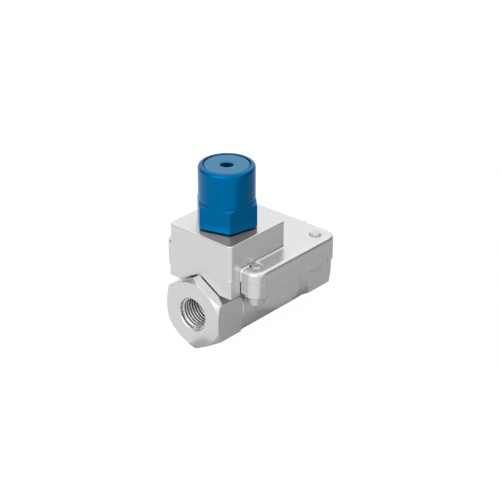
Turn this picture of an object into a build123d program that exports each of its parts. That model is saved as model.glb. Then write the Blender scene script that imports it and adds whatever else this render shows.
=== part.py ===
"""Air-piloted two-way diaphragm valve with two G1/4 ports and a blue pilot actuator.

Frame: millimetres. X runs along the port axis from the front port to the rear port, Z is up.
The origin is on the port axis where the front port's thread starts.
"""
import os
from math import cos, radians, sin, sqrt, tan

from build123d import *

# Port threads
# G1/4 has a major diameter of 13.157 mm, and the bores are cut to the thread's outer diameter.
port_thread_radius = 6.58
port_thread_depth = 12.0
port_countersink_radius = 6.98
port_countersink_depth = port_countersink_radius - port_thread_radius
port_bore_radius = 5.9
port_thread_runout = port_thread_radius - port_bore_radius

# Length of the body, and where its planes lie along X
body_length = 68.0
front_x = -port_countersink_depth
rear_x = front_x + body_length
centre_x = front_x + body_length / 2

# Port hexagons, with a corner at the top and at the bottom
hex_across_flats = 27.0
hex_corner_radius = hex_across_flats / sqrt(3)
front_hex_length = 14.2
rear_hex_length = 15.4
hex_chamfer_slope = tan(radians(30))
hex_face_radius = hex_across_flats / 2
hex_back_radius = hex_across_flats / 2 - 0.3

# Barrel between the hexagons
barrel_radius = 14.2

# Flange of the body and plate of the cover
flange_length = 48.0
flange_width = 49.5
flange_corner_radius = 5.0
flange_bottom_z = 11.2
seam_z = 16.2
plate_top_z = 21.3
plate_edge_round = 1.4
flange_side_recess = 0.4
flange_side_recess_length = flange_length - 11.2
flange_front_x = centre_x - flange_length / 2

# Pads under the two front lugs
front_lug_drop = 0.8
lug_pad_length = 10.4

# Pilot block on the cover
block_overhang = 5.5
block_front_x = flange_front_x - block_overhang
block_length = 31.0
block_width = 32.0
block_top_z = 32.5
block_corner_radius = 2.0
block_rear_corner_radius = 0.8
block_corner_step_z = 17.9
block_foot_radius = 0.8
block_top_round = 0.4
skirt_bottom_z = 10.25
skirt_gap = 0.3
skirt_corner_radius = 0.6

# Saddle of the skirt over the front hexagon
saddle_clearance = 0.45
saddle_half_width = 10.9
saddle_flat_z = 15.2
hex_ridge_relief_z = 14.9

# Cover screws, M4, put in from below, with spring lock washers
screw_radius = 2.0
screw_clearance_radius = 2.25
screw_edge_x = 6.4
screw_edge_y = 6.45
screw_spacing_x = flange_length - 2 * screw_edge_x
screw_spacing_y = flange_width - 2 * screw_edge_y
screw_head_radius = 3.5
screw_head_height = 4.0
screw_socket_across_flats = 3.0
screw_socket_depth = 2.2
screw_length = 12.0
screw_tip_chamfer = 0.35
screw_head_round = 0.5
washer_thickness = 1.1
washer_inner_radius = 2.1
washer_outer_radius = screw_head_radius - 0.05
washer_slit = 0.5
washer_slit_length = 2 * (washer_outer_radius - washer_inner_radius) + 0.4
tap_countersink_radius = 2.7
tap_countersink_depth = 0.75

# Main valve chamber, seat and diaphragm
diaphragm_rim_width = 3.6
diaphragm_edge_margin = 5.4
diaphragm_radius = flange_length / 2 - diaphragm_edge_margin
cover_chamber_radius = diaphragm_radius - diaphragm_rim_width
chamber_radius = cover_chamber_radius + 0.5
chamber_floor_z = 7.4
seat_z = 12.5
seat_outer_radius = 8.2
seat_bore_radius = 6.5
spring_pocket_radius = 5.2
diaphragm_rim_thickness = 1.5
diaphragm_centre_thickness = 1.25
diaphragm_web_thickness = 0.75
diaphragm_hole_radius = 2.0
diaphragm_flat_radius = 9.2
bleed_hole_radius = 0.4
main_lift = 3.0
lift_clearance = 0.78

# Round bowl under the flange, with a wall round the chamber
bowl_wall = 4.5
bowl_radius = chamber_radius + bowl_wall
bowl_bottom_z = -4.2
bowl_round = 5.0

# Well from the rear port up to the chamber, beside the seat
well_radius = (chamber_radius - seat_outer_radius) / 2 + 0.55
well_x = centre_x + seat_outer_radius + well_radius

# Pieces that lift with the middle of the diaphragm
support_disc_radius = 8.6
support_disc_thickness = 1.25
clamp_screw_radius = 1.95
clamp_screw_head_radius = 3.6
clamp_screw_head_height = 1.4
clamp_screw_slot_width = 0.8
clamp_screw_slot_depth = 0.7
clamp_screw_end = 0.4
support_disc_round = 0.35
clamp_plate_radius = 5.2
clamp_plate_thickness = 1.2
contact_gap = 0.02
disc_rest_top_z = seat_z + diaphragm_centre_thickness + contact_gap + support_disc_thickness
cover_chamber_top_z = disc_rest_top_z + main_lift + lift_clearance
spring_pocket_top_z = cover_chamber_top_z + 1.0

# Relief channel from the pilot stage to the front port
relief_x = flange_front_x + 2.8
relief_radius = 1.0
channel_seal_minor = 0.45
channel_seal_major = 1.7

# Pilot stage bores in the block, all on the actuator's axis
actuator_x = block_front_x + 15.75
actuator_thread_radius = 9.0
actuator_bore_bottom_z = 27.0
insert_radius = 6.0
insert_bottom_z = 24.5
insert_hole_radius = 1.4
insert_lip_radius = 2.2
insert_lip_height = 0.5
insert_seal_minor = 0.4
insert_groove_low = 0.8
insert_groove_high = 1.7
poppet_bore_radius = 5.0
poppet_bore_bottom_z = 20.3
feed_hole_radius = 0.9
feed_hole_offset = 1.6
pilot_stroke = 1.0

# Actuator housing: hexagon below, cylinder above, both 22 mm
actuator_across_flats = 22.0
actuator_corner_angle = -73.1
actuator_radius = 11.0
actuator_hex_bottom_z = block_top_z + 0.5
actuator_hex_top_z = actuator_hex_bottom_z + 9.5
actuator_top_z = actuator_hex_top_z + 14.3
actuator_rim_round = 1.3
actuator_foot_chamfer = 0.3
actuator_ledge_inset = 0.35
actuator_spigot_bottom_z = 27.25
actuator_cylinder_radius = 8.0
actuator_cylinder_bottom_z = 36.0
bush_radius = 4.0
bush_bottom_z = 28.0
bush_top_z = 35.0
plunger_passage_radius = 2.0
neck_seal_minor = 0.62
neck_recess_radius = actuator_thread_radius + 2 * neck_seal_minor
neck_recess_depth = 0.85

# End cap with the M5 pilot port, held by a round wire ring
cap_bore_radius = 9.25
cap_radius = 8.85
cap_foot_radius = 9.2
cap_shoulder_z = actuator_top_z - 2.2
cap_bottom_z = cap_shoulder_z - 3.4
cap_top_z = actuator_top_z - 0.15
cap_groove_low = 0.7
cap_groove_high = 1.6
cap_edge_chamfer = 0.25
pilot_port_countersink_depth = 0.5
pilot_port_radius = 2.5
pilot_port_countersink_radius = 3.0
ring_wire_radius = 0.4
ring_gap = 3.0
cap_seal_minor = 0.4

# Piston, plunger and their seals
piston_radius = 7.95
piston_top_z = cap_bottom_z - 0.5
piston_bottom_z = piston_top_z - 4.9
piston_seal_z = piston_top_z - 2.4
piston_seal_minor = 0.52
piston_groove_radius = 6.9
piston_groove_half = 0.7
piston_hub_radius = 4.2
piston_hub_height = 1.5
plunger_radius = 1.5
plunger_tip_radius = 0.9
plunger_step_z = actuator_bore_bottom_z + pilot_stroke + 0.9
plunger_top_z = piston_top_z - 1.9
plunger_bottom_z = 22.0
bush_hole_radius = plunger_radius + 0.05
plunger_seal_minor = 0.5
plunger_seal_z = 31.0

# Poppet under the pilot seat
poppet_radius = 3.8
poppet_bottom_z = 22.6
poppet_rim_z = 23.6
poppet_spigot_radius = 1.5
poppet_spigot_z = poppet_bore_bottom_z + pilot_stroke + 0.6
poppet_seal_radius = 3.0
poppet_seal_bottom_z = 22.95
poppet_seal_top_z = insert_bottom_z - insert_lip_height - 0.03

# Springs
diaphragm_spring_radius = 4.4
diaphragm_spring_wire = 0.28
piston_spring_radius = 5.6
piston_spring_wire = 0.5
poppet_spring_radius = 3.1
poppet_spring_wire = 0.22

front_screw_points = [
    (centre_x - screw_spacing_x / 2, -screw_spacing_y / 2),
    (centre_x - screw_spacing_x / 2, screw_spacing_y / 2),
]
rear_screw_points = [
    (centre_x + screw_spacing_x / 2, -screw_spacing_y / 2),
    (centre_x + screw_spacing_x / 2, screw_spacing_y / 2),
]
screw_points = front_screw_points + rear_screw_points
actuator_axis = Axis((actuator_x, 0, 0), (0, 0, 1))
centre_axis = Axis((centre_x, 0, 0), (0, 0, 1))
actuator_plane = Plane(origin=(actuator_x, 0, 0), x_dir=(1, 0, 0), z_dir=(0, -1, 0))
centre_plane = Plane(origin=(centre_x, 0, 0), x_dir=(1, 0, 0), z_dir=(0, -1, 0))


# Valve body: a nickel-plated brass forging
front_hex_end = front_x + front_hex_length
rear_hex_start = rear_x - rear_hex_length
hex_outer = hex_corner_radius + 0.2
face_chamfer = (hex_outer - hex_face_radius) * hex_chamfer_slope
back_chamfer = (hex_outer - hex_back_radius) * hex_chamfer_slope
with BuildPart() as valve_body:
    # One long hexagon, turned down between the two ports
    with BuildSketch(Plane.YZ.offset(front_x)):
        RegularPolygon(radius=hex_across_flats / 2, side_count=6, major_radius=False, rotation=30)
    extrude(amount=body_length)
    with BuildSketch(Plane.XZ):
        with BuildLine():
            Polyline(
                (front_x, 0),
                (front_x, hex_face_radius),
                (front_x + face_chamfer, hex_outer),
                (front_hex_end - back_chamfer, hex_outer),
                (front_hex_end, hex_back_radius),
                (front_hex_end, 8),
                (rear_hex_start, 8),
                (rear_hex_start, hex_back_radius),
                (rear_hex_start + back_chamfer, hex_outer),
                (rear_x - face_chamfer, hex_outer),
                (rear_x, hex_face_radius),
                (rear_x, 0),
                close=True,
            )
        make_face()
    revolve(axis=Axis.X, mode=Mode.INTERSECT)
    # Barrel
    with BuildSketch(Plane.YZ.offset(front_hex_end - 0.2)):
        Circle(barrel_radius)
    extrude(amount=rear_hex_start - front_hex_end + 0.4)
    # Bowl
    with BuildSketch(centre_plane):
        with BuildLine():
            Line((0, bowl_bottom_z), (bowl_radius - bowl_round, bowl_bottom_z))
            RadiusArc(
                (bowl_radius - bowl_round, bowl_bottom_z),
                (bowl_radius, bowl_bottom_z + bowl_round),
                -bowl_round,
            )
            Line((bowl_radius, bowl_bottom_z + bowl_round), (bowl_radius, seam_z - 1))
            Line((bowl_radius, seam_z - 1), (0, seam_z - 1))
            Line((0, seam_z - 1), (0, bowl_bottom_z))
        make_face()
    revolve(axis=centre_axis)
    # Flange with four lugs, its sides a little hollow between the lugs
    with BuildSketch(Plane.XY.offset(flange_bottom_z)):
        with Locations((centre_x, 0)):
            RectangleRounded(flange_length, flange_width, flange_corner_radius)
        with Locations((centre_x, flange_width / 2), (centre_x, -flange_width / 2)):
            Rectangle(flange_side_recess_length, 2 * flange_side_recess, mode=Mode.SUBTRACT)
    extrude(amount=seam_z - flange_bottom_z)
    # The front lugs are a little thicker than the rear ones
    with BuildSketch(Plane.XY.offset(flange_bottom_z - front_lug_drop)):
        pad_x = flange_front_x + lug_pad_length / 2
        pad_y = flange_width / 2 - lug_pad_length / 2
        with Locations((pad_x, pad_y), (pad_x, -pad_y)):
            RectangleRounded(lug_pad_length, lug_pad_length, flange_corner_radius)
        with Locations((centre_x, flange_width / 2), (centre_x, -flange_width / 2)):
            Rectangle(flange_side_recess_length, 2 * flange_side_recess, mode=Mode.SUBTRACT)
    extrude(amount=front_lug_drop)
    # The top corner of the front hexagon is cut flat where the saddle passes over it
    with BuildSketch(Plane.XY.offset(hex_ridge_relief_z)):
        with Locations(((block_front_x - 0.2 + flange_front_x) / 2, 0)):
            Rectangle(flange_front_x - block_front_x + 0.2, 6)
    extrude(amount=3, mode=Mode.SUBTRACT)
    # Chamber round the seat
    with BuildSketch(Plane.XY.offset(chamber_floor_z)):
        with Locations((centre_x, 0)):
            Circle(chamber_radius)
    extrude(amount=seam_z - chamber_floor_z + 1, mode=Mode.SUBTRACT)
    with BuildSketch(Plane.XY.offset(seam_z - diaphragm_rim_thickness)):
        with Locations((centre_x, 0)):
            Circle(diaphragm_radius)
    extrude(amount=diaphragm_rim_thickness + 1, mode=Mode.SUBTRACT)
    with BuildSketch(Plane.XY.offset(chamber_floor_z - 1)):
        with Locations((centre_x, 0)):
            Circle(seat_outer_radius)
    extrude(amount=seat_z - chamber_floor_z + 1)
    # Front port, bent up under the seat
    with BuildSketch(Plane.XY.offset(-port_bore_radius + 2)):
        with Locations((centre_x, 0)):
            Circle(seat_bore_radius)
    extrude(amount=seat_z + port_bore_radius, mode=Mode.SUBTRACT)
    with BuildSketch(Plane.YZ.offset(front_x + 2)):
        Circle(port_bore_radius)
    extrude(amount=centre_x + 2 - front_x - 2, mode=Mode.SUBTRACT)
    # Rear port, with a well up to the chamber
    with BuildSketch(Plane.YZ.offset(rear_x - 2)):
        Circle(port_bore_radius)
    extrude(amount=-(rear_x - 2 - well_x + 3.4), mode=Mode.SUBTRACT)
    with BuildSketch(Plane.XY):
        with Locations((well_x, 0)):
            Circle(well_radius)
    extrude(amount=chamber_floor_z + 1, mode=Mode.SUBTRACT)
    # Thread bores and their countersinks
    with BuildSketch(Plane.XZ):
        with BuildLine():
            Polyline(
                (front_x - 1, 0),
                (front_x - 1, port_countersink_radius + 1),
                (0, port_thread_radius),
                (port_thread_depth, port_thread_radius),
                (port_thread_depth + port_thread_runout, port_bore_radius),
                (port_thread_depth + port_thread_runout, 0),
                close=True,
            )
        make_face()
    revolve(axis=Axis.X, mode=Mode.SUBTRACT)
    with BuildSketch(Plane.XZ):
        with BuildLine():
            Polyline(
                (rear_x + 1, 0),
                (rear_x + 1, port_countersink_radius + 1),
                (rear_x + front_x, port_thread_radius),
                (rear_x + front_x - port_thread_depth, port_thread_radius),
                (rear_x + front_x - port_thread_depth - port_thread_runout, port_bore_radius),
                (rear_x + front_x - port_thread_depth - port_thread_runout, 0),
                close=True,
            )
        make_face()
    revolve(axis=Axis.X, mode=Mode.SUBTRACT)
    # Screw holes and the relief channel
    with BuildSketch(Plane.XY.offset(flange_bottom_z - 1)):
        with Locations(*screw_points):
            Circle(screw_clearance_radius)
    extrude(amount=seam_z - flange_bottom_z + 2, mode=Mode.SUBTRACT)
    with BuildSketch(Plane.XY.offset(port_bore_radius - 1.5)):
        with Locations((relief_x, 0)):
            Circle(relief_radius)
    extrude(amount=seam_z - port_bore_radius + 2.5, mode=Mode.SUBTRACT)
    with BuildSketch(Plane.XY.offset(seam_z - 2 * channel_seal_minor)):
        with Locations((relief_x, 0)):
            Circle(channel_seal_major + channel_seal_minor)
    extrude(amount=2, mode=Mode.SUBTRACT)
valve_body.part.label = "valve_body"


# Pilot cover: the plate over the diaphragm and the pilot block are one casting
saddle_top = hex_corner_radius + saddle_clearance / cos(radians(30))
saddle_flat_half = (saddle_top - saddle_flat_z) / tan(radians(30))
saddle_edge_z = saddle_top - saddle_half_width * tan(radians(30))
with BuildPart() as pilot_cover:
    with BuildSketch(Plane.XY.offset(seam_z)):
        with Locations((centre_x, 0)):
            RectangleRounded(flange_length, flange_width, flange_corner_radius)
    extrude(amount=plate_top_z - seam_z)
    fillet(pilot_cover.edges().group_by(Axis.Z)[-1], radius=plate_edge_round)
    # Upper block, rounded at its two front corners
    with BuildSketch(Plane.XY.offset(block_corner_step_z)):
        with BuildLine():
            Polyline(
                (block_front_x, -block_width / 2),
                (block_front_x + block_length, -block_width / 2),
                (block_front_x + block_length, block_width / 2),
                (block_front_x, block_width / 2),
                close=True,
            )
        make_face()
        front_corners = vertices().filter_by_position(Axis.X, block_front_x - 1, block_front_x + 1)
        fillet(front_corners, radius=block_corner_radius)
        rear_corners = vertices().filter_by_position(
            Axis.X, block_front_x + block_length - 0.1, block_front_x + block_length + 0.1
        )
        fillet(rear_corners, radius=block_rear_corner_radius)
    extrude(amount=block_top_z - block_corner_step_z)
    # Lower block and the skirt in front of the flange, with sharper corners
    with BuildSketch(Plane.XY.offset(seam_z)):
        with Locations(((block_front_x + flange_front_x + 2) / 2, 0)):
            Rectangle(flange_front_x + 2 - block_front_x, block_width)
        skirt_corners = vertices().filter_by_position(Axis.X, block_front_x - 1, block_front_x + 1)
        fillet(skirt_corners, radius=skirt_corner_radius)
    extrude(amount=block_corner_step_z - seam_z)
    top_edges = pilot_cover.edges().group_by(Axis.Z)[-1]
    fillet(top_edges, radius=block_top_round)
    # Foot fillet where the block meets the plate
    foot_edges = pilot_cover.edges().filter_by_position(Axis.Z, plate_top_z - 0.01, plate_top_z + 0.01)
    foot_edges = foot_edges.filter_by_position(Axis.X, flange_front_x, block_front_x + block_length + 0.1)
    foot_edges = foot_edges.filter_by_position(Axis.Y, -block_width / 2 - 0.1, block_width / 2 + 0.1)
    fillet(foot_edges, radius=block_foot_radius)
    with BuildSketch(Plane.XY.offset(skirt_bottom_z)):
        with Locations(((block_front_x + flange_front_x - skirt_gap) / 2, 0)):
            Rectangle(flange_front_x - skirt_gap - block_front_x, block_width)
        skirt_corners = vertices().filter_by_position(Axis.X, block_front_x - 1, block_front_x + 1)
        fillet(skirt_corners, radius=skirt_corner_radius)
    extrude(amount=seam_z - skirt_bottom_z)
    # Saddle over the hexagon
    with BuildSketch(Plane.YZ.offset(block_front_x - 1)):
        with BuildLine():
            Polyline(
                (-saddle_half_width, skirt_bottom_z - 1),
                (-saddle_half_width, saddle_edge_z),
                (-saddle_flat_half, saddle_flat_z),
                (saddle_flat_half, saddle_flat_z),
                (saddle_half_width, saddle_edge_z),
                (saddle_half_width, skirt_bottom_z - 1),
                close=True,
            )
        make_face()
    extrude(amount=flange_front_x - block_front_x + 0.9, mode=Mode.SUBTRACT)
    # Chamber over the diaphragm and the pocket for its spring
    with BuildSketch(Plane.XY.offset(seam_z - 1)):
        with Locations((centre_x, 0)):
            Circle(cover_chamber_radius)
    extrude(amount=cover_chamber_top_z - seam_z + 1, mode=Mode.SUBTRACT)
    with BuildSketch(Plane.XY.offset(cover_chamber_top_z - 1)):
        with Locations((centre_x, 0)):
            Circle(spring_pocket_radius)
    extrude(amount=spring_pocket_top_z - cover_chamber_top_z + 1, mode=Mode.SUBTRACT)
    # Stepped pilot bore from the top of the block
    with BuildSketch(actuator_plane):
        with BuildLine():
            Polyline(
                (0, poppet_bore_bottom_z),
                (poppet_bore_radius, poppet_bore_bottom_z),
                (poppet_bore_radius, insert_bottom_z),
                (insert_radius, insert_bottom_z),
                (insert_radius, actuator_bore_bottom_z),
                (actuator_thread_radius, actuator_bore_bottom_z),
                (actuator_thread_radius, block_top_z - neck_recess_depth),
                (neck_recess_radius, block_top_z - neck_recess_depth),
                (neck_recess_radius, block_top_z + 1),
                (0, block_top_z + 1),
                close=True,
            )
        make_face()
    revolve(axis=actuator_axis, mode=Mode.SUBTRACT)
    with BuildSketch(Plane.XY.offset(cover_chamber_top_z - 1)):
        with Locations((actuator_x + feed_hole_offset, 0)):
            Circle(feed_hole_radius)
    extrude(amount=poppet_bore_bottom_z - cover_chamber_top_z + 2, mode=Mode.SUBTRACT)
    with BuildSketch(Plane.XY.offset(seam_z - 1)):
        with Locations((relief_x, 0)):
            Circle(relief_radius)
    extrude(amount=actuator_bore_bottom_z - seam_z + 2, mode=Mode.SUBTRACT)
    # Tapped holes with a countersink at the top
    with BuildSketch(Plane.XY.offset(seam_z - 1)):
        with Locations(*screw_points):
            Circle(screw_radius)
    extrude(amount=plate_top_z - seam_z + 2, mode=Mode.SUBTRACT)
    with Locations(*[(x, y, plate_top_z - tap_countersink_depth / 2) for x, y in screw_points]):
        Cone(
            bottom_radius=screw_radius,
            top_radius=tap_countersink_radius,
            height=tap_countersink_depth,
            mode=Mode.SUBTRACT,
        )
pilot_cover.part.label = "pilot_cover"


# Four M4 socket head screws, put in from below
# The front pair sits lower by the thickness of the pads.
head_top_z = flange_bottom_z - washer_thickness
front_seats = [(x, y, head_top_z - front_lug_drop) for x, y in front_screw_points]
rear_seats = [(x, y, head_top_z) for x, y in rear_screw_points]
screw_seats = front_seats + rear_seats
with BuildPart() as cover_screws:
    with Locations(*screw_seats):
        Cylinder(
            screw_head_radius,
            screw_head_height,
            align=(Align.CENTER, Align.CENTER, Align.MAX),
        )
    head_circles = cover_screws.edges().filter_by(GeomType.CIRCLE).group_by(Axis.Z)
    fillet(head_circles[0] + head_circles[1], radius=screw_head_round)
    with Locations(*screw_seats):
        Cylinder(
            screw_radius,
            screw_length,
            align=(Align.CENTER, Align.CENTER, Align.MIN),
        )
    tip_circles = cover_screws.edges().filter_by(GeomType.CIRCLE).group_by(Axis.Z)
    chamfer(tip_circles[-1] + tip_circles[-2], length=screw_tip_chamfer)
    for x, y, z in screw_seats:
        with BuildSketch(Plane.XY.offset(z - screw_head_height)):
            with Locations((x, y)):
                RegularPolygon(screw_socket_across_flats / 2, side_count=6, major_radius=False)
        extrude(amount=screw_socket_depth, mode=Mode.SUBTRACT)
cover_screws.part.label = "cover_screws"


# Spring lock washers under the screw heads
with BuildPart() as lock_washers:
    for x, y, z in screw_seats:
        with BuildSketch(Plane.XY.offset(z)):
            with Locations((x, y)):
                Circle(washer_outer_radius)
                Circle(washer_inner_radius, mode=Mode.SUBTRACT)
            with Locations((x + washer_outer_radius, y)):
                Rectangle(washer_slit_length, washer_slit, mode=Mode.SUBTRACT)
        extrude(amount=washer_thickness)
lock_washers.part.label = "lock_washers"


# Round seal where the relief channel crosses the seam
with BuildPart() as channel_seal:
    with Locations((relief_x, 0, seam_z - channel_seal_minor)):
        Torus(channel_seal_major, channel_seal_minor)
channel_seal.part.label = "channel_seal"


# Main diaphragm: a clamped rim, a thin sloping web and a thick middle that seals on the seat
diaphragm_rim_z = seam_z - diaphragm_rim_thickness
diaphragm_middle_z = seat_z + diaphragm_centre_thickness
with BuildPart() as main_diaphragm:
    with BuildSketch(centre_plane):
        with BuildLine():
            Polyline(
                (diaphragm_hole_radius, seat_z),
                (diaphragm_flat_radius, seat_z),
                (cover_chamber_radius - 0.9, diaphragm_rim_z),
                (diaphragm_radius, diaphragm_rim_z),
                (diaphragm_radius, seam_z),
                (cover_chamber_radius - 0.4, seam_z),
                (cover_chamber_radius - 1.4, diaphragm_rim_z + diaphragm_web_thickness),
                (diaphragm_flat_radius - 0.2, diaphragm_middle_z),
                (diaphragm_hole_radius, diaphragm_middle_z),
                close=True,
            )
        make_face()
    revolve(axis=centre_axis)
    # Bleed hole that feeds the space above the diaphragm
    with Locations((centre_x + cover_chamber_radius - 2.7, 0, seat_z + 2)):
        Cylinder(bleed_hole_radius, 6, mode=Mode.SUBTRACT)
main_diaphragm.part.label = "main_diaphragm"


# Disc on top of the diaphragm
disc_bottom_z = diaphragm_middle_z + contact_gap
disc_top_z = disc_bottom_z + support_disc_thickness
with BuildPart() as support_disc:
    with BuildSketch(Plane.XY.offset(disc_bottom_z)):
        with Locations((centre_x, 0)):
            Circle(support_disc_radius)
            Circle(clamp_screw_radius, mode=Mode.SUBTRACT)
    extrude(amount=support_disc_thickness)
    disc_circles = support_disc.edges().filter_by(GeomType.CIRCLE).sort_by(SortBy.LENGTH)
    fillet(disc_circles[-2:], radius=support_disc_round)
support_disc.part.label = "support_disc"


# Screw that clamps the diaphragm between the disc and the plate below
plate_bottom_z = seat_z - contact_gap - clamp_plate_thickness
with BuildPart() as clamp_screw:
    with BuildSketch(Plane.XY.offset(disc_top_z)):
        with Locations((centre_x, 0)):
            Circle(clamp_screw_head_radius)
    extrude(amount=clamp_screw_head_height)
    with BuildSketch(Plane.XY.offset(disc_top_z + clamp_screw_head_height)):
        with Locations((centre_x, 0)):
            Rectangle(2 * clamp_screw_head_radius + 1, clamp_screw_slot_width)
    extrude(amount=-clamp_screw_slot_depth, mode=Mode.SUBTRACT)
    with BuildSketch(Plane.XY.offset(plate_bottom_z - clamp_screw_end)):
        with Locations((centre_x, 0)):
            Circle(clamp_screw_radius)
    extrude(amount=disc_top_z - plate_bottom_z + clamp_screw_end)
clamp_screw.part.label = "clamp_screw"


# Threaded plate under the diaphragm, inside the seat
with BuildPart() as clamp_plate:
    with BuildSketch(Plane.XY.offset(plate_bottom_z)):
        with Locations((centre_x, 0)):
            Circle(clamp_plate_radius)
            Circle(clamp_screw_radius, mode=Mode.SUBTRACT)
    extrude(amount=clamp_plate_thickness)
    chamfer(clamp_plate.edges().group_by(Axis.Z)[0].sort_by(SortBy.LENGTH)[-1], length=0.4)
clamp_plate.part.label = "clamp_plate"


# Spring that closes the main valve
with BuildPart() as diaphragm_spring:
    spring_low = disc_top_z + diaphragm_spring_wire + contact_gap
    spring_high = spring_pocket_top_z - diaphragm_spring_wire
    with BuildLine():
        Helix(
            pitch=(spring_high - spring_low) / 3,
            height=spring_high - spring_low,
            radius=diaphragm_spring_radius,
            center=(centre_x, 0, spring_low),
        )
    with BuildSketch(Plane(origin=(centre_x + diaphragm_spring_radius, 0, spring_low), z_dir=(0, 1, 0))):
        Circle(diaphragm_spring_wire)
    sweep(is_frenet=True)
diaphragm_spring.part.label = "diaphragm_spring"


# Pilot seat, a turned brass insert with a lip that faces down
with BuildPart() as pilot_seat:
    with BuildSketch(actuator_plane):
        with BuildLine():
            Polyline(
                (insert_hole_radius, insert_bottom_z - insert_lip_height),
                (insert_lip_radius, insert_bottom_z - insert_lip_height),
                (insert_lip_radius + 0.3, insert_bottom_z),
                (insert_radius, insert_bottom_z),
                (insert_radius, insert_bottom_z + insert_groove_low),
                (insert_radius - 2 * insert_seal_minor, insert_bottom_z + insert_groove_low),
                (insert_radius - 2 * insert_seal_minor, insert_bottom_z + insert_groove_high),
                (insert_radius, insert_bottom_z + insert_groove_high),
                (insert_radius, actuator_bore_bottom_z),
                (insert_hole_radius, actuator_bore_bottom_z),
                close=True,
            )
        make_face()
    revolve(axis=actuator_axis)
pilot_seat.part.label = "pilot_seat"


# Seal round the pilot seat
with BuildPart() as pilot_seat_seal:
    with Locations((actuator_x, 0, insert_bottom_z + (insert_groove_low + insert_groove_high) / 2)):
        Torus(insert_radius - insert_seal_minor, insert_seal_minor)
pilot_seat_seal.part.label = "pilot_seat_seal"


# Poppet: a small brass cup that holds the soft seal
with BuildPart() as poppet:
    with BuildSketch(actuator_plane):
        with BuildLine():
            Polyline(
                (plunger_tip_radius, poppet_spigot_z),
                (poppet_spigot_radius, poppet_spigot_z),
                (poppet_spigot_radius, poppet_bottom_z),
                (poppet_radius, poppet_bottom_z),
                (poppet_radius, poppet_rim_z),
                (poppet_seal_radius, poppet_rim_z),
                (poppet_seal_radius, poppet_seal_bottom_z),
                (plunger_tip_radius, poppet_seal_bottom_z),
                close=True,
            )
        make_face()
    revolve(axis=actuator_axis)
poppet.part.label = "poppet"


with BuildPart() as poppet_seal:
    with BuildSketch(Plane.XY.offset(poppet_seal_bottom_z)):
        with Locations((actuator_x, 0)):
            Circle(poppet_seal_radius)
            Circle(plunger_tip_radius, mode=Mode.SUBTRACT)
    extrude(amount=poppet_seal_top_z - poppet_seal_bottom_z)
poppet_seal.part.label = "poppet_seal"


# Spring that closes the poppet
with BuildPart() as poppet_spring:
    spring_low = poppet_bore_bottom_z + poppet_spring_wire
    spring_high = poppet_bottom_z - poppet_spring_wire - contact_gap
    with BuildLine():
        Helix(
            pitch=(spring_high - spring_low) / 2.5,
            height=spring_high - spring_low,
            radius=poppet_spring_radius,
            center=(actuator_x, 0, spring_low),
        )
    with BuildSketch(Plane(origin=(actuator_x + poppet_spring_radius, 0, spring_low), z_dir=(0, 1, 0))):
        Circle(poppet_spring_wire)
    sweep(is_frenet=True)
poppet_spring.part.label = "poppet_spring"


# Plunger from the piston to the poppet, thinner where it passes the pilot seat
with BuildPart() as plunger:
    with BuildSketch(actuator_plane):
        with BuildLine():
            Polyline(
                (0, plunger_bottom_z),
                (plunger_tip_radius, plunger_bottom_z),
                (plunger_tip_radius, plunger_step_z - 0.6),
                (plunger_radius, plunger_step_z),
                (plunger_radius, plunger_top_z),
                (0, plunger_top_z),
                close=True,
            )
        make_face()
    revolve(axis=actuator_axis)
plunger.part.label = "plunger"


# Guide bush pressed into the actuator's spigot
with BuildPart() as guide_bush:
    with BuildSketch(actuator_plane):
        with BuildLine():
            Polyline(
                (bush_hole_radius, bush_bottom_z),
                (bush_radius, bush_bottom_z),
                (bush_radius, bush_top_z),
                (bush_hole_radius, bush_top_z),
                (bush_hole_radius, plunger_seal_z + plunger_seal_minor),
                (bush_hole_radius + 2 * plunger_seal_minor, plunger_seal_z + plunger_seal_minor),
                (bush_hole_radius + 2 * plunger_seal_minor, plunger_seal_z - plunger_seal_minor),
                (bush_hole_radius, plunger_seal_z - plunger_seal_minor),
                close=True,
            )
        make_face()
    revolve(axis=actuator_axis)
guide_bush.part.label = "guide_bush"


with BuildPart() as plunger_seal:
    with Locations((actuator_x, 0, plunger_seal_z)):
        Torus(bush_hole_radius + plunger_seal_minor, plunger_seal_minor)
plunger_seal.part.label = "plunger_seal"


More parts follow.
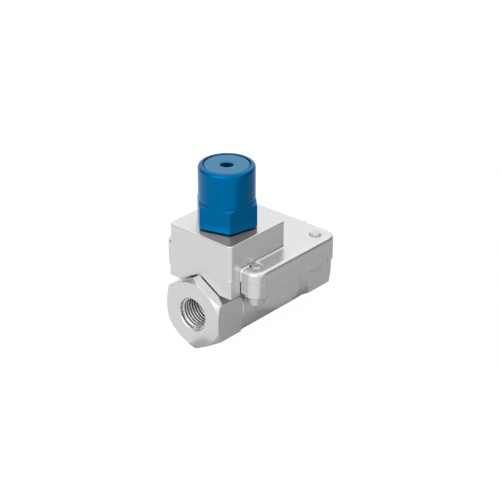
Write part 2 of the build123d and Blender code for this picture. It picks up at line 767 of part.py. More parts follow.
# Actuator housing: blue anodised aluminium
actuator_corner = actuator_across_flats / sqrt(3)
ledge_drop = (actuator_corner + 0.1 - actuator_radius - actuator_ledge_inset) * tan(radians(40))
with BuildPart() as actuator_housing:
    with BuildSketch(Plane.XY.offset(actuator_hex_bottom_z)):
        with Locations((actuator_x, 0)):
            RegularPolygon(
                radius=actuator_across_flats / 2,
                side_count=6,
                major_radius=False,
                rotation=actuator_corner_angle,
            )
    extrude(amount=actuator_hex_top_z - actuator_hex_bottom_z)
    with BuildSketch(actuator_plane):
        with BuildLine():
            Polyline(
                (0, actuator_hex_bottom_z),
                (actuator_corner - actuator_foot_chamfer, actuator_hex_bottom_z),
                (actuator_corner + 0.1, actuator_hex_bottom_z + actuator_foot_chamfer + 0.1),
                (actuator_corner + 0.1, actuator_hex_top_z - ledge_drop),
                (actuator_radius + actuator_ledge_inset, actuator_hex_top_z),
                (0, actuator_hex_top_z),
                close=True,
            )
        make_face()
    revolve(axis=actuator_axis, mode=Mode.INTERSECT)
    with BuildSketch(Plane.XY.offset(actuator_hex_top_z)):
        with Locations((actuator_x, 0)):
            Circle(actuator_radius)
    extrude(amount=actuator_top_z - actuator_hex_top_z)
    fillet(actuator_housing.edges().group_by(Axis.Z)[-1], radius=actuator_rim_round)
    with BuildSketch(Plane.XY.offset(actuator_hex_bottom_z)):
        with Locations((actuator_x, 0)):
            Circle(actuator_thread_radius)
    extrude(amount=-(actuator_hex_bottom_z - actuator_spigot_bottom_z))
    # Cylinder, cap seat and ring groove above, bush seat below
    with BuildSketch(actuator_plane):
        with BuildLine():
            Polyline(
                (0, actuator_spigot_bottom_z - 1),
                (bush_radius, actuator_spigot_bottom_z - 1),
                (bush_radius, bush_top_z),
                (plunger_passage_radius, bush_top_z),
                (plunger_passage_radius, actuator_cylinder_bottom_z),
                (actuator_cylinder_radius, actuator_cylinder_bottom_z),
                (actuator_cylinder_radius, cap_bottom_z),
                (cap_bore_radius, cap_bottom_z),
                (cap_bore_radius, cap_shoulder_z),
                (cap_bore_radius + ring_wire_radius, cap_shoulder_z),
                (cap_bore_radius + ring_wire_radius, cap_shoulder_z + 2 * ring_wire_radius),
                (cap_bore_radius, cap_shoulder_z + 2 * ring_wire_radius),
                (cap_bore_radius, actuator_top_z + 1),
                (0, actuator_top_z + 1),
                close=True,
            )
        make_face()
    revolve(axis=actuator_axis, mode=Mode.SUBTRACT)
actuator_housing.part.label = "actuator_housing"


# Seal between the actuator's hexagon and the block
with BuildPart() as neck_seal:
    with Locations((actuator_x, 0, block_top_z - neck_recess_depth + neck_seal_minor)):
        Torus(actuator_thread_radius + neck_seal_minor, neck_seal_minor)
neck_seal.part.label = "neck_seal"


# Pilot piston
with BuildPart() as pilot_piston:
    with BuildSketch(actuator_plane):
        with BuildLine():
            Polyline(
                (plunger_radius, piston_bottom_z - piston_hub_height),
                (piston_hub_radius, piston_bottom_z - piston_hub_height),
                (piston_hub_radius, piston_bottom_z),
                (piston_radius, piston_bottom_z),
                (piston_radius, piston_seal_z - piston_groove_half),
                (piston_groove_radius, piston_seal_z - piston_groove_half),
                (piston_groove_radius, piston_seal_z + piston_groove_half),
                (piston_radius, piston_seal_z + piston_groove_half),
                (piston_radius, piston_top_z),
                (0, piston_top_z),
                (0, plunger_top_z),
                (plunger_radius, plunger_top_z),
                close=True,
            )
        make_face()
    revolve(axis=actuator_axis)
pilot_piston.part.label = "pilot_piston"


with BuildPart() as piston_seal:
    with Locations((actuator_x, 0, piston_seal_z)):
        Torus(actuator_cylinder_radius - 0.03 - piston_seal_minor, piston_seal_minor)
piston_seal.part.label = "piston_seal"


# Spring that lifts the piston
with BuildPart() as piston_spring:
    spring_low = actuator_cylinder_bottom_z + piston_spring_wire
    spring_high = piston_bottom_z - piston_spring_wire - contact_gap
    with BuildLine():
        Helix(
            pitch=(spring_high - spring_low) / 4.5,
            height=spring_high - spring_low,
            radius=piston_spring_radius,
            center=(actuator_x, 0, spring_low),
        )
    with BuildSketch(Plane(origin=(actuator_x + piston_spring_radius, 0, spring_low), z_dir=(0, 1, 0))):
        Circle(piston_spring_wire)
    sweep(is_frenet=True)
piston_spring.part.label = "piston_spring"


# End cap with the M5 pilot port
with BuildPart() as end_cap:
    with BuildSketch(actuator_plane):
        with BuildLine():
            Polyline(
                (pilot_port_radius, cap_bottom_z),
                (cap_foot_radius, cap_bottom_z),
                (cap_foot_radius, cap_bottom_z + cap_groove_low),
                (cap_bore_radius - 2 * cap_seal_minor, cap_bottom_z + cap_groove_low),
                (cap_bore_radius - 2 * cap_seal_minor, cap_bottom_z + cap_groove_high),
                (cap_foot_radius, cap_bottom_z + cap_groove_high),
                (cap_foot_radius, cap_shoulder_z),
                (cap_radius, cap_shoulder_z),
                (cap_radius, cap_top_z - cap_edge_chamfer),
                (cap_radius - cap_edge_chamfer, cap_top_z),
                (pilot_port_countersink_radius, cap_top_z),
                (pilot_port_radius, cap_top_z - pilot_port_countersink_depth),
                close=True,
            )
        make_face()
    revolve(axis=actuator_axis)
end_cap.part.label = "end_cap"


with BuildPart() as end_cap_seal:
    with Locations((actuator_x, 0, cap_bottom_z + (cap_groove_low + cap_groove_high) / 2)):
        Torus(cap_bore_radius - cap_seal_minor, cap_seal_minor)
end_cap_seal.part.label = "end_cap_seal"


# Round wire ring in the groove above the cap's foot, open at one side
with BuildPart() as retaining_ring:
    with Locations((actuator_x, 0, cap_shoulder_z + ring_wire_radius)):
        Torus(cap_bore_radius, ring_wire_radius)
    with Locations((actuator_x + cap_bore_radius, 0, cap_shoulder_z + ring_wire_radius)):
        Box(2 * ring_gap, ring_gap, 4 * ring_wire_radius, mode=Mode.SUBTRACT)
retaining_ring.part.label = "retaining_ring"


os.makedirs("parts", exist_ok=True)
export_step(valve_body.part, "parts/valve_body.step")
export_step(pilot_cover.part, "parts/pilot_cover.step")
export_step(cover_screws.part, "parts/cover_screws.step")
export_step(lock_washers.part, "parts/lock_washers.step")
export_step(channel_seal.part, "parts/channel_seal.step")
export_step(main_diaphragm.part, "parts/main_diaphragm.step")
export_step(support_disc.part, "parts/support_disc.step")
export_step(clamp_screw.part, "parts/clamp_screw.step")
export_step(clamp_plate.part, "parts/clamp_plate.step")
export_step(diaphragm_spring.part, "parts/diaphragm_spring.step")
export_step(pilot_seat.part, "parts/pilot_seat.step")
export_step(pilot_seat_seal.part, "parts/pilot_seat_seal.step")
export_step(poppet.part, "parts/poppet.step")
export_step(poppet_seal.part, "parts/poppet_seal.step")
export_step(poppet_spring.part, "parts/poppet_spring.step")
export_step(plunger.part, "parts/plunger.step")
export_step(guide_bush.part, "parts/guide_bush.step")
export_step(plunger_seal.part, "parts/plunger_seal.step")
export_step(actuator_housing.part, "parts/actuator_housing.step")
export_step(neck_seal.part, "parts/neck_seal.step")
export_step(pilot_piston.part, "parts/pilot_piston.step")
export_step(piston_seal.part, "parts/piston_seal.step")
export_step(piston_spring.part, "parts/piston_spring.step")
export_step(end_cap.part, "parts/end_cap.step")
export_step(end_cap_seal.part, "parts/end_cap_seal.step")
export_step(retaining_ring.part, "parts/retaining_ring.step")
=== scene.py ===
"""Looks of the air-piloted diaphragm valve: finishes, thread ridges, light and camera."""

import math

import bpy
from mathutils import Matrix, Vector


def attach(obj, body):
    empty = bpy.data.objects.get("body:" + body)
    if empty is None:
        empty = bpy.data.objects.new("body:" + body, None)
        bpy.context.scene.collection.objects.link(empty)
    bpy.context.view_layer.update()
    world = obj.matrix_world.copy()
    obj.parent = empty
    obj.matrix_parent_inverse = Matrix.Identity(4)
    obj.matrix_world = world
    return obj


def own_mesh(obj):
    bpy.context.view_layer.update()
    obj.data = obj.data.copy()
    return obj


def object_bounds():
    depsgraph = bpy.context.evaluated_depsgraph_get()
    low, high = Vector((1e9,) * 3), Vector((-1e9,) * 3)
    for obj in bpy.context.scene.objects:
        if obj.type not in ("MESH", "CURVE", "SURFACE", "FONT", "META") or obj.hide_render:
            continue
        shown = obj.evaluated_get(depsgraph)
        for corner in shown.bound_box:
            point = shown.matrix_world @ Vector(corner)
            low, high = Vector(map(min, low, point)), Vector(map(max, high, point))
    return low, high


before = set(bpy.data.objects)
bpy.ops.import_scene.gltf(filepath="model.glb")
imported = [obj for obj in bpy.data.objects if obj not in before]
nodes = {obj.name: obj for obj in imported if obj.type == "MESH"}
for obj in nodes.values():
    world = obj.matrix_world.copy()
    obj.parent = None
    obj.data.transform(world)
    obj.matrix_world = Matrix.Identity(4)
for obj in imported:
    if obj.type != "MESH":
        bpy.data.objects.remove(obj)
cad_low, cad_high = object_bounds()

# Sizes in metres, the same as in the part's source
port_wall_radius = 0.00658
port_thread_depth = 0.012
port_thread_pitch = 0.001337
port_thread_height = 0.00083
rear_port_x = 0.0672
pilot_wall_radius = 0.0025
pilot_thread_pitch = 0.0008
pilot_thread_height = 0.00042
pilot_thread_top = 0.05615
pilot_thread_length = 0.0049
actuator_x = 0.01985
floor_height = cad_low[2] - 0.0002


def add_node(tree, kind, x, y, **settings):
    """Adds one node to a tree at a place on its sheet."""
    node = tree.nodes.new(kind)
    node.location = (x, y)
    for key, value in settings.items():
        setattr(node, key, value)
    return node


def socket(group, name, way, kind="NodeSocketFloat", default=None):
    """Names one input or output of a node group."""
    made = group.interface.new_socket(name=name, in_out=way, socket_type=kind)
    if default is not None:
        made.default_value = default
    return made


def multiply_add(tree, value, factor, offset, x, y):
    """value times factor plus offset."""
    node = add_node(tree, "ShaderNodeMath", x, y, operation="MULTIPLY_ADD")
    tree.links.new(value, node.inputs[0])
    node.inputs[1].default_value = factor
    node.inputs[2].default_value = offset
    return node.outputs[0]


# Fine grain of a blasted and plated casting, with broad soft patches of tone
def make_casting_grain():
    group = bpy.data.node_groups.new("casting_grain", "ShaderNodeTree")
    socket(group, "Position", "INPUT", "NodeSocketVector")
    socket(group, "Grain Size", "INPUT", default=0.0006)
    socket(group, "Tone Spread", "INPUT", default=0.06)
    socket(group, "Roughness", "INPUT", default=0.35)
    socket(group, "Roughness Spread", "INPUT", default=0.1)
    socket(group, "Tone", "OUTPUT")
    socket(group, "Roughness", "OUTPUT")
    socket(group, "Height", "OUTPUT")
    start = add_node(group, "NodeGroupInput", -900, 0)
    end = add_node(group, "NodeGroupOutput", 700, 0)
    scale = add_node(group, "ShaderNodeMath", -700, 160, operation="DIVIDE")
    scale.inputs[0].default_value = 1.0
    group.links.new(start.outputs["Grain Size"], scale.inputs[1])
    fine = add_node(group, "ShaderNodeTexNoise", -480, 200)
    fine.inputs["Detail"].default_value = 3.0
    fine.inputs["Roughness"].default_value = 0.6
    group.links.new(start.outputs["Position"], fine.inputs["Vector"])
    group.links.new(scale.outputs[0], fine.inputs["Scale"])
    coarse_scale = add_node(group, "ShaderNodeMath", -700, -60, operation="MULTIPLY")
    coarse_scale.inputs[1].default_value = 0.12
    group.links.new(scale.outputs[0], coarse_scale.inputs[0])
    coarse = add_node(group, "ShaderNodeTexNoise", -480, -80)
    coarse.inputs["Detail"].default_value = 4.0
    group.links.new(start.outputs["Position"], coarse.inputs["Vector"])
    group.links.new(coarse_scale.outputs[0], coarse.inputs["Scale"])
    # Tone is one less half the spread times the patches
    centred = add_node(group, "ShaderNodeMath", -240, -80, operation="SUBTRACT")
    centred.inputs[1].default_value = 0.5
    group.links.new(coarse.outputs["Fac"], centred.inputs[0])
    spread = add_node(group, "ShaderNodeMath", -40, -80, operation="MULTIPLY")
    group.links.new(centred.outputs[0], spread.inputs[0])
    group.links.new(start.outputs["Tone Spread"], spread.inputs[1])
    tone = add_node(group, "ShaderNodeMath", 160, -80, operation="ADD")
    tone.inputs[1].default_value = 1.0
    group.links.new(spread.outputs[0], tone.inputs[0])
    rough_centre = add_node(group, "ShaderNodeMath", -240, 120, operation="SUBTRACT")
    rough_centre.inputs[1].default_value = 0.5
    group.links.new(fine.outputs["Fac"], rough_centre.inputs[0])
    rough_spread = add_node(group, "ShaderNodeMath", -40, 120, operation="MULTIPLY")
    group.links.new(rough_centre.outputs[0], rough_spread.inputs[0])
    group.links.new(start.outputs["Roughness Spread"], rough_spread.inputs[1])
    rough = add_node(group, "ShaderNodeMath", 160, 120, operation="ADD", use_clamp=True)
    group.links.new(rough_spread.outputs[0], rough.inputs[0])
    group.links.new(start.outputs["Roughness"], rough.inputs[1])
    group.links.new(tone.outputs[0], end.inputs["Tone"])
    group.links.new(rough.outputs[0], end.inputs["Roughness"])
    group.links.new(fine.outputs["Fac"], end.inputs["Height"])
    return group


# Rings left by a lathe on a turned face or wall, round an axis through the origin along Z
def make_turning_rings():
    group = bpy.data.node_groups.new("turning_rings", "ShaderNodeTree")
    socket(group, "Position", "INPUT", "NodeSocketVector")
    socket(group, "Ring Pitch", "INPUT", default=0.0003)
    socket(group, "Tone Spread", "INPUT", default=0.04)
    socket(group, "Tone", "OUTPUT")
    socket(group, "Height", "OUTPUT")
    start = add_node(group, "NodeGroupInput", -900, 0)
    end = add_node(group, "NodeGroupOutput", 700, 0)
    parts = add_node(group, "ShaderNodeSeparateXYZ", -720, 100)
    group.links.new(start.outputs["Position"], parts.inputs[0])
    x_squared = add_node(group, "ShaderNodeMath", -540, 180, operation="MULTIPLY")
    group.links.new(parts.outputs["X"], x_squared.inputs[0])
    group.links.new(parts.outputs["X"], x_squared.inputs[1])
    sum_squares = add_node(group, "ShaderNodeMath", -360, 120, operation="MULTIPLY_ADD")
    group.links.new(parts.outputs["Y"], sum_squares.inputs[0])
    group.links.new(parts.outputs["Y"], sum_squares.inputs[1])
    group.links.new(x_squared.outputs[0], sum_squares.inputs[2])
    radius = add_node(group, "ShaderNodeMath", -200, 120, operation="SQRT")
    group.links.new(sum_squares.outputs[0], radius.inputs[0])
    along = add_node(group, "ShaderNodeMath", -40, 60, operation="ADD")
    group.links.new(radius.outputs[0], along.inputs[0])
    group.links.new(parts.outputs["Z"], along.inputs[1])
    turns = add_node(group, "ShaderNodeMath", 120, 60, operation="DIVIDE")
    group.links.new(along.outputs[0], turns.inputs[0])
    group.links.new(start.outputs["Ring Pitch"], turns.inputs[1])
    uneven = add_node(group, "ShaderNodeTexNoise", 120, -140, noise_dimensions="1D")
    uneven.inputs["Scale"].default_value = 1.0
    uneven.inputs["Detail"].default_value = 3.0
    group.links.new(turns.outputs[0], uneven.inputs["W"])
    centred = add_node(group, "ShaderNodeMath", 300, -140, operation="SUBTRACT")
    centred.inputs[1].default_value = 0.5
    group.links.new(uneven.outputs["Fac"], centred.inputs[0])
    tone = add_node(group, "ShaderNodeMath", 460, -140, operation="MULTIPLY_ADD")
    tone.inputs[2].default_value = 1.0
    group.links.new(centred.outputs[0], tone.inputs[0])
    group.links.new(start.outputs["Tone Spread"], tone.inputs[1])
    group.links.new(tone.outputs[0], end.inputs["Tone"])
    group.links.new(uneven.outputs["Fac"], end.inputs["Height"])
    return group


casting_grain = make_casting_grain()
turning_rings = make_turning_rings()


def blank_material(name):
    """A material with nothing but its shader and Object coordinates."""
    material = bpy.data.materials.new(name)
    material.use_nodes = True
    tree = material.node_tree
    tree.nodes.clear()
    output = add_node(tree, "ShaderNodeOutputMaterial", 900, 0)
    shader = add_node(tree, "ShaderNodeBsdfPrincipled", 600, 0)
    place = add_node(tree, "ShaderNodeTexCoord", -900, 0)
    tree.links.new(shader.outputs[0], output.inputs["Surface"])
    return material, tree, shader, place


def tinted(tree, colour, tone, x, y):
    """colour times a tone close to one."""
    scale = add_node(tree, "ShaderNodeVectorMath", x, y, operation="SCALE")
    scale.inputs[0].default_value = colour
    tree.links.new(tone, scale.inputs["Scale"])
    return scale.outputs[0]


def grained_metal(
    name,
    colour,
    roughness,
    grain_size=0.0006,
    grain_depth=0.00002,
    tone_spread=0.06,
    roughness_spread=0.12,
    edge_radius=0.0,
    metallic=1.0,
    coat=0.0,
    ring_pitch=0.0,
    ring_depth=0.0,
    ring_centre=(0.0, 0.0, 0.0),
    ring_turn=(0.0, 0.0, 0.0),
    painted_reflection_colour=None,
):
    """A metal finish with grain, and lathe rings where ring_pitch is given.

    painted_reflection_colour is a painted reflection: the colour that neighbouring metal shows of
    this finish in place of its own.
    """
    material, tree, shader, place = blank_material(name)
    grain = add_node(tree, "ShaderNodeGroup", -400, 0)
    grain.node_tree = casting_grain
    tree.links.new(place.outputs["Object"], grain.inputs["Position"])
    grain.inputs["Grain Size"].default_value = grain_size
    grain.inputs["Tone Spread"].default_value = tone_spread
    grain.inputs["Roughness"].default_value = roughness
    grain.inputs["Roughness Spread"].default_value = roughness_spread
    tone = grain.outputs["Tone"]
    bump = add_node(tree, "ShaderNodeBump", 320, -300)
    bump.inputs["Strength"].default_value = 1.0
    bump.inputs["Distance"].default_value = grain_depth
    tree.links.new(grain.outputs["Height"], bump.inputs["Height"])
    if edge_radius:
        edge = add_node(tree, "ShaderNodeBevel", 60, -420, samples=6)
        edge.inputs["Radius"].default_value = edge_radius
        tree.links.new(edge.outputs[0], bump.inputs["Normal"])
    last = bump
    if ring_pitch:
        turned = add_node(tree, "ShaderNodeMapping", -640, -260)
        turned.vector_type = "TEXTURE"
        turned.inputs["Location"].default_value = ring_centre
        turned.inputs["Rotation"].default_value = ring_turn
        tree.links.new(place.outputs["Object"], turned.inputs["Vector"])
        rings = add_node(tree, "ShaderNodeGroup", -400, -260)
        rings.node_tree = turning_rings
        tree.links.new(turned.outputs[0], rings.inputs["Position"])
        rings.inputs["Ring Pitch"].default_value = ring_pitch
        both = add_node(tree, "ShaderNodeMath", -160, -60, operation="MULTIPLY")
        tree.links.new(tone, both.inputs[0])
        tree.links.new(rings.outputs["Tone"], both.inputs[1])
        tone = both.outputs[0]
        last = add_node(tree, "ShaderNodeBump", 460, -420)
        last.inputs["Distance"].default_value = ring_depth
        tree.links.new(rings.outputs["Height"], last.inputs["Height"])
        tree.links.new(bump.outputs[0], last.inputs["Normal"])
    surface_colour = tinted(tree, colour, tone, 60, 60)
    # Painted reflection: glossy rays see this finish in the given colour, not its own
    if painted_reflection_colour:
        path = add_node(tree, "ShaderNodeLightPath", 60, 360)
        blend = add_node(tree, "ShaderNodeMix", 320, 160, data_type="RGBA")
        tree.links.new(path.outputs["Is Glossy Ray"], blend.inputs["Factor"])
        tree.links.new(surface_colour, blend.inputs[6])
        blend.inputs[7].default_value = (*painted_reflection_colour, 1.0)
        surface_colour = blend.outputs[2]
    tree.links.new(surface_colour, shader.inputs["Base Color"])
    tree.links.new(grain.outputs["Roughness"], shader.inputs["Roughness"])
    tree.links.new(last.outputs[0], shader.inputs["Normal"])
    shader.inputs["Metallic"].default_value = metallic
    if coat:
        shader.inputs["Coat Weight"].default_value = coat
        shader.inputs["Coat Roughness"].default_value = 0.12
        shader.inputs["Coat IOR"].default_value = 1.45
    return material


def moulded_rubber(name, colour, roughness=0.65):
    """Matt rubber with a fine mould grain."""
    material, tree, shader, place = blank_material(name)
    grain = add_node(tree, "ShaderNodeGroup", -400, 0)
    grain.node_tree = casting_grain
    tree.links.new(place.outputs["Object"], grain.inputs["Position"])
    grain.inputs["Grain Size"].default_value = 0.0004
    grain.inputs["Tone Spread"].default_value = 0.3
    grain.inputs["Roughness"].default_value = roughness
    grain.inputs["Roughness Spread"].default_value = 0.2
    bump = add_node(tree, "ShaderNodeBump", 320, -300)
    bump.inputs["Distance"].default_value = 0.00002
    tree.links.new(grain.outputs["Height"], bump.inputs["Height"])
    tree.links.new(tinted(tree, colour, grain.outputs["Tone"], 60, 60), shader.inputs["Base Color"])
    tree.links.new(grain.outputs["Roughness"], shader.inputs["Roughness"])
    tree.links.new(bump.outputs[0], shader.inputs["Normal"])
    return material


nickel_body = grained_metal(
    "nickel_plated_forging",
    (0.74, 0.735, 0.745),
    0.26,
    grain_size=0.0005,
    grain_depth=0.000012,
    edge_radius=0.00045,
)
nickel_cover = grained_metal(
    "nickel_plated_cover",
    (0.75, 0.745, 0.755),
    0.30,
    grain_size=0.0005,
    grain_depth=0.000012,
    edge_radius=0.0004,
)
screw_metal = grained_metal(
    "plain_screw_steel",
    (0.66, 0.66, 0.67),
    0.30,
    grain_size=0.0003,
    grain_depth=0.00001,
    edge_radius=0.0001,
)
washer_metal = grained_metal("spring_washer_steel", (0.40, 0.40, 0.41), 0.38, grain_size=0.0003)
inner_metal = grained_metal("turned_inner_steel", (0.55, 0.55, 0.56), 0.3, grain_size=0.0003)
spring_metal = grained_metal("drawn_spring_wire", (0.48, 0.48, 0.50), 0.28, grain_size=0.0002)
brass_metal = grained_metal("turned_brass", (0.78, 0.56, 0.22), 0.28, grain_size=0.0003)
piston_metal = grained_metal("turned_aluminium", (0.78, 0.78, 0.79), 0.32, grain_size=0.0003)
blue_housing = grained_metal(
    "blue_anodised_housing",
    (0.0, 0.150, 0.37),
    0.30,
    grain_size=0.0004,
    grain_depth=0.000004,
    tone_spread=0.05,
    roughness_spread=0.08,
    edge_radius=0.0003,
    ring_pitch=0.00035,
    ring_depth=0.000004,
    ring_centre=(actuator_x, 0.0, 0.0),
    # painted reflection: the nickel shows this housing grey, not blue
    painted_reflection_colour=(0.17, 0.175, 0.19),
)
# End cap: an anodised part of its own, with a blue lighter and greyer than the housing's, partly
# painted sheen for the white its top face reflects
blue_cap_painted_sheen = grained_metal(
    "blue_anodised_cap_painted_sheen",
    (0.055, 0.215, 0.40),
    0.36,
    grain_size=0.0004,
    grain_depth=0.000004,
    tone_spread=0.05,
    roughness_spread=0.08,
    edge_radius=0.00015,
    ring_pitch=0.0003,
    ring_depth=0.000005,
    ring_centre=(actuator_x, 0.0, 0.0),
)
# Painted shade: the thread inside the pilot bore is a much darker blue than the housing, standing in
# for the shade in the bore
pilot_thread_painted_shade = grained_metal(
    "blue_anodised_thread_painted_shade", (0.0, 0.05, 0.13), 0.45, grain_size=0.0003, tone_spread=0.05
)
seal_rubber = moulded_rubber("black_seal_rubber", (0.012, 0.012, 0.013))
diaphragm_rubber = moulded_rubber("diaphragm_rubber", (0.02, 0.02, 0.02), 0.75)

finish_of = {
    "valve_body": nickel_body,
    "pilot_cover": nickel_cover,
    "cover_screws": screw_metal,
    "lock_washers": washer_metal,
    "channel_seal": seal_rubber,
    "main_diaphragm": diaphragm_rubber,
    "support_disc": inner_metal,
    "clamp_screw": inner_metal,
    "clamp_plate": inner_metal,
    "diaphragm_spring": spring_metal,
    "pilot_seat": brass_metal,
    "pilot_seat_seal": seal_rubber,
    "poppet": brass_metal,
    "poppet_seal": seal_rubber,
    "poppet_spring": spring_metal,
    "plunger": inner_metal,
    "guide_bush": brass_metal,
    "plunger_seal": seal_rubber,
    "actuator_housing": blue_housing,
    "neck_seal": seal_rubber,
    "pilot_piston": piston_metal,
    "piston_seal": seal_rubber,
    "piston_spring": spring_metal,
    "end_cap": blue_cap_painted_sheen,
    "end_cap_seal": seal_rubber,
    "retaining_ring": spring_metal,
}
for node_name, finish in finish_of.items():
    data = nodes[node_name].data
    if data.materials:
        data.materials[0] = finish
    else:
        data.materials.append(finish)


# One thread ridge: a helix along Z with a flat-topped vee section that points inwards
def make_thread_tree():
    tree = bpy.data.node_groups.new("inner_thread", "GeometryNodeTree")
    socket(tree, "Wall Radius", "INPUT", default=port_wall_radius)
    socket(tree, "Pitch", "INPUT", default=port_thread_pitch)
    socket(tree, "Length", "INPUT", default=port_thread_depth)
    socket(tree, "Height", "INPUT", default=port_thread_height)
    socket(tree, "Finish", "INPUT", "NodeSocketMaterial")
    socket(tree, "Geometry", "OUTPUT", "NodeSocketGeometry")
    start = add_node(tree, "NodeGroupInput", -1400, 0)
    end = add_node(tree, "NodeGroupOutput", 900, 0)
    # Helix
    turns = add_node(tree, "ShaderNodeMath", -1100, 200, operation="DIVIDE")
    tree.links.new(start.outputs["Length"], turns.inputs[0])
    tree.links.new(start.outputs["Pitch"], turns.inputs[1])
    helix = add_node(tree, "GeometryNodeCurveSpiral", -860, 240)
    helix.inputs["Resolution"].default_value = 64
    tree.links.new(turns.outputs[0], helix.inputs["Rotations"])
    tree.links.new(start.outputs["Wall Radius"], helix.inputs["Start Radius"])
    tree.links.new(start.outputs["Wall Radius"], helix.inputs["End Radius"])
    tree.links.new(start.outputs["Length"], helix.inputs["Height"])
    upright = add_node(tree, "GeometryNodeSetCurveNormal", -640, 240)
    upright.mode = "Z_UP"
    tree.links.new(helix.outputs[0], upright.inputs["Curve"])
    # Section: a trapezoid, wide at its foot and narrow at its crest
    half_pitch = add_node(tree, "ShaderNodeMath", -1100, -80, operation="MULTIPLY")
    half_pitch.inputs[1].default_value = 0.47
    tree.links.new(start.outputs["Pitch"], half_pitch.inputs[0])
    crest_half = add_node(tree, "ShaderNodeMath", -1100, -240, operation="MULTIPLY")
    crest_half.inputs[1].default_value = 0.09
    tree.links.new(start.outputs["Pitch"], crest_half.inputs[0])
    section = add_node(tree, "GeometryNodeCurvePrimitiveQuadrilateral", -640, -120)
    section.mode = "TRAPEZOID"
    wide = add_node(tree, "ShaderNodeMath", -860, -60, operation="MULTIPLY")
    wide.inputs[1].default_value = 2.0
    tree.links.new(half_pitch.outputs[0], wide.inputs[0])
    narrow = add_node(tree, "ShaderNodeMath", -860, -220, operation="MULTIPLY")
    narrow.inputs[1].default_value = 2.0
    tree.links.new(crest_half.outputs[0], narrow.inputs[0])
    tree.links.new(start.outputs["Height"], section.inputs["Height"])
    tree.links.new(wide.outputs[0], section.inputs["Bottom Width"])
    tree.links.new(narrow.outputs[0], section.inputs["Top Width"])
    section.inputs["Offset"].default_value = 0.0
    # The section's foot lies on the helix and its crest points to the axis
    half_height = add_node(tree, "ShaderNodeMath", -640, -360, operation="MULTIPLY")
    half_height.inputs[1].default_value = 0.5
    tree.links.new(start.outputs["Height"], half_height.inputs[0])
    lift = add_node(tree, "ShaderNodeCombineXYZ", -440, -360)
    tree.links.new(half_height.outputs[0], lift.inputs["Y"])
    raised = add_node(tree, "GeometryNodeTransform", -240, -160)
    tree.links.new(section.outputs[0], raised.inputs["Geometry"])
    tree.links.new(lift.outputs[0], raised.inputs["Translation"])
    turned = add_node(tree, "GeometryNodeTransform", -40, -160)
    turned.inputs["Rotation"].default_value = (0.0, 0.0, math.radians(-90))
    tree.links.new(raised.outputs[0], turned.inputs["Geometry"])
    swept = add_node(tree, "GeometryNodeCurveToMesh", 180, 100)
    tree.links.new(upright.outputs[0], swept.inputs["Curve"])
    tree.links.new(turned.outputs[0], swept.inputs["Profile Curve"])
    swept.inputs["Fill Caps"].default_value = True
    real = add_node(tree, "GeometryNodeRealizeInstances", 420, 100)
    tree.links.new(swept.outputs[0], real.inputs[0])
    painted = add_node(tree, "GeometryNodeSetMaterial", 640, 100)
    tree.links.new(real.outputs[0], painted.inputs["Geometry"])
    tree.links.new(start.outputs["Finish"], painted.inputs["Material"])
    tree.links.new(painted.outputs[0], end.inputs["Geometry"])
    return tree


thread_tree = make_thread_tree()


def set_input(modifier, name, value):
    """Sets one named input of a Geometry Nodes modifier."""
    for item in modifier.node_group.interface.items_tree:
        if item.item_type == "SOCKET" and item.in_out == "INPUT" and item.name == name:
            modifier[item.identifier] = value


def thread_ridge(name, wall_radius, pitch, length, height, finish, turn_y, place):
    """One inner thread as a plain mesh, turned about Y and moved to its bore."""
    holder = bpy.data.objects.new(name + "_maker", bpy.data.meshes.new(name + "_maker"))
    bpy.context.scene.collection.objects.link(holder)
    maker = holder.modifiers.new("thread", "NODES")
    maker.node_group = thread_tree
    set_input(maker, "Wall Radius", wall_radius)
    set_input(maker, "Pitch", pitch)
    set_input(maker, "Length", length)
    set_input(maker, "Height", height)
    set_input(maker, "Finish", finish)
    bpy.context.view_layer.update()
    graph = bpy.context.evaluated_depsgraph_get()
    mesh = bpy.data.meshes.new_from_object(holder.evaluated_get(graph), depsgraph=graph)
    mesh.name = name
    bpy.data.objects.remove(holder)
    cosine, sine = math.cos(turn_y), math.sin(turn_y)
    for vertex in mesh.vertices:
        x, y, z = vertex.co
        vertex.co = (x * cosine + z * sine + place[0], y + place[1], z * cosine - x * sine + place[2])
    mesh.update()
    piece = bpy.data.objects.new(name, mesh)
    bpy.context.scene.collection.objects.link(piece)
    return piece


front_thread = thread_ridge(
    "front_port_thread",
    port_wall_radius + 0.00001,
    port_thread_pitch,
    port_thread_depth - 0.0008,
    port_thread_height,
    nickel_body,
    math.radians(90),
    (0.0004, 0.0, 0.0),
)
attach(front_thread, "valve")
rear_thread = thread_ridge(
    "rear_port_thread",
    port_wall_radius + 0.00001,
    port_thread_pitch,
    port_thread_depth - 0.0008,
    port_thread_height,
    nickel_body,
    math.radians(-90),
    (rear_port_x - 0.0004, 0.0, 0.0),
)
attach(rear_thread, "valve")
pilot_thread = thread_ridge(
    "pilot_port_thread",
    pilot_wall_radius + 0.00001,
    pilot_thread_pitch,
    pilot_thread_length - 0.0003,
    pilot_thread_height,
    pilot_thread_painted_shade,
    0.0,
    (actuator_x, 0.0, pilot_thread_top - pilot_thread_length + 0.0001),
)
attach(pilot_thread, "valve")
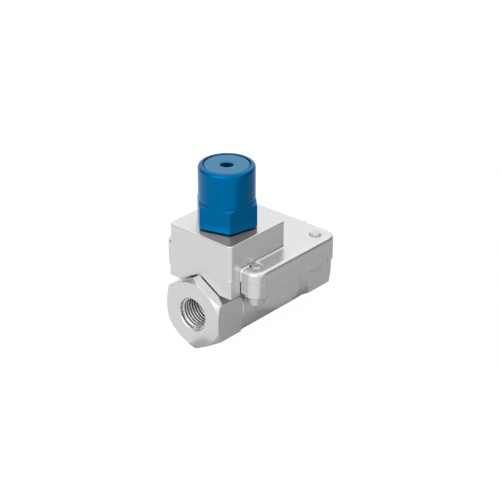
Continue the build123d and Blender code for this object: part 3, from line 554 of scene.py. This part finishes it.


# The springs and the diaphragm each get a mesh of their own; the joint, fixed end and travel listed
# with them are not used here
main_travel = 0.003
pilot_travel = 0.001
for soft_name, joint_name, fixed_end, travel in (
    ("main_diaphragm", "main_valve_lift", "top", main_travel),
    ("diaphragm_spring", "main_valve_lift", "top", main_travel),
    ("poppet_spring", "pilot_stem_slide", "bottom", pilot_travel),
    ("piston_spring", "pilot_stem_slide", "bottom", pilot_travel),
):
    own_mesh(nodes[soft_name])


# Floor: pale, white to the camera apart from the object's soft shadow
def make_floor():
    size = 1.2
    mesh = bpy.data.meshes.new("floor")
    corners = [(-size, -size), (size, -size), (size, size), (-size, size)]
    mesh.from_pydata([(x, y, floor_height) for x, y in corners], [], [(0, 1, 2, 3)])
    floor = bpy.data.objects.new("floor", mesh)
    bpy.context.scene.collection.objects.link(floor)
    material = bpy.data.materials.new("pale_floor")
    material.use_nodes = True
    tree = material.node_tree
    tree.nodes.clear()
    output = add_node(tree, "ShaderNodeOutputMaterial", 600, 0)
    paint = add_node(tree, "ShaderNodeBsdfDiffuse", 0, 100)
    paint.inputs["Color"].default_value = (0.78, 0.78, 0.78, 1.0)
    glow = add_node(tree, "ShaderNodeEmission", 0, -100)
    glow.inputs["Strength"].default_value = 1.1
    path = add_node(tree, "ShaderNodeLightPath", -400, 200)
    gloss_share = multiply_add(tree, path.outputs["Is Glossy Ray"], 0.65, 0.0, -260, 180)
    share = add_node(tree, "ShaderNodeMath", -100, 260, operation="MULTIPLY_ADD")
    share.inputs[1].default_value = 0.9
    tree.links.new(path.outputs["Is Camera Ray"], share.inputs[0])
    tree.links.new(gloss_share, share.inputs[2])
    mixed = add_node(tree, "ShaderNodeMixShader", 300, 0)
    tree.links.new(share.outputs[0], mixed.inputs["Fac"])
    tree.links.new(paint.outputs[0], mixed.inputs[1])
    tree.links.new(glow.outputs[0], mixed.inputs[2])
    tree.links.new(mixed.outputs[0], output.inputs["Surface"])
    mesh.materials.append(material)
    return floor


make_floor()


def grey_card(name, corners, grey):
    """A matt card that only the object's reflections and bounced light see."""
    mesh = bpy.data.meshes.new(name)
    mesh.from_pydata(corners, [], [(0, 1, 2, 3)])
    card = bpy.data.objects.new(name, mesh)
    bpy.context.scene.collection.objects.link(card)
    material = bpy.data.materials.new(name + "_paint")
    material.use_nodes = True
    tree = material.node_tree
    tree.nodes.clear()
    output = add_node(tree, "ShaderNodeOutputMaterial", 300, 0)
    paint = add_node(tree, "ShaderNodeBsdfDiffuse", 0, 0)
    paint.inputs["Color"].default_value = (grey, grey, grey, 1.0)
    tree.links.new(paint.outputs[0], output.inputs["Surface"])
    mesh.materials.append(material)
    card.visible_camera = False
    card.visible_shadow = False
    return card


def standing_card(name, centre, distance, first_turn, last_turn, foot, head, grey):
    """An upright card round the object, between two directions in degrees from +X."""
    ends = []
    for degrees in (first_turn, last_turn):
        angle = math.radians(degrees)
        ends.append((centre[0] + distance * math.cos(angle), centre[1] + distance * math.sin(angle)))
    (x0, y0), (x1, y1) = ends
    corners = [(x0, y0, foot), (x1, y1, foot), (x1, y1, head), (x0, y0, head)]
    return grey_card(name, corners, grey)


standing_card("right_card", (0.033, 0.0), 0.42, -78.0, -8.0, floor_height, 0.21, 0.34)
standing_card("back_card", (0.033, 0.0), 0.45, 98.0, 150.0, floor_height, 0.19, 0.40)
grey_card(
    "floor_card",
    [
        (-0.01, -0.30, floor_height + 0.0001),
        (0.36, -0.30, floor_height + 0.0001),
        (0.36, 0.004, floor_height + 0.0001),
        (-0.01, 0.004, floor_height + 0.0001),
    ],
    0.8,
)


# World: white behind the object and in its reflections, softer as light
def make_world():
    world = bpy.data.worlds.new("studio")
    bpy.context.scene.world = world
    world.use_nodes = True
    tree = world.node_tree
    tree.nodes.clear()
    output = add_node(tree, "ShaderNodeOutputWorld", 600, 0)
    sky = add_node(tree, "ShaderNodeBackground", 300, 0)
    sky.inputs["Color"].default_value = (1.0, 1.0, 1.0, 1.0)
    path = add_node(tree, "ShaderNodeLightPath", -500, 0)
    first = add_node(tree, "ShaderNodeMath", -280, 80, operation="MAXIMUM")
    tree.links.new(path.outputs["Is Camera Ray"], first.inputs[0])
    tree.links.new(path.outputs["Is Glossy Ray"], first.inputs[1])
    second = add_node(tree, "ShaderNodeMath", -100, 40, operation="MAXIMUM")
    tree.links.new(first.outputs[0], second.inputs[0])
    tree.links.new(path.outputs["Is Transmission Ray"], second.inputs[1])
    strength = multiply_add(tree, second.outputs[0], 0.5, 0.5, 80, 40)
    tree.links.new(strength, sky.inputs["Strength"])
    tree.links.new(sky.outputs[0], output.inputs["Surface"])


make_world()


def soft_box(name, place, target, width, height, power):
    """A rectangular studio lamp at place that points at target."""
    lamp = bpy.data.lights.new(name, "AREA")
    lamp.shape = "RECTANGLE"
    lamp.size = width
    lamp.size_y = height
    lamp.energy = power
    holder = bpy.data.objects.new(name, lamp)
    bpy.context.scene.collection.objects.link(holder)
    holder.location = place
    aim = Vector(target) - Vector(place)
    holder.rotation_euler = aim.to_track_quat("-Z", "Y").to_euler()
    return holder


middle = (0.033, 0.0, 0.012)
soft_box("left_box", (-0.36, -0.08, 0.17), middle, 0.40, 0.30, 0.40)
soft_box("top_box", (0.10, 0.10, 0.50), middle, 0.75, 0.75, 0.40)

# Camera at the photograph's angle
camera_data = bpy.data.cameras.new("photo_camera")
camera_data.sensor_width = 36.0
camera_data.lens = 113.29
camera_data.clip_start = 0.01
camera = bpy.data.objects.new("photo_camera", camera_data)
bpy.context.scene.collection.objects.link(camera)
turn = math.radians(-48.41)
rise = math.radians(27.47)
back = Vector((math.sin(turn) * math.cos(rise), -math.cos(turn) * math.cos(rise), math.sin(rise)))
aim_point = Vector((0.032911, -0.000122, 0.015085))
camera.location = aim_point + back * 0.6206
camera.rotation_euler = (-back).to_track_quat("-Z", "Y").to_euler()
bpy.context.scene.camera = camera

bpy.context.scene.view_settings.view_transform = "Standard"
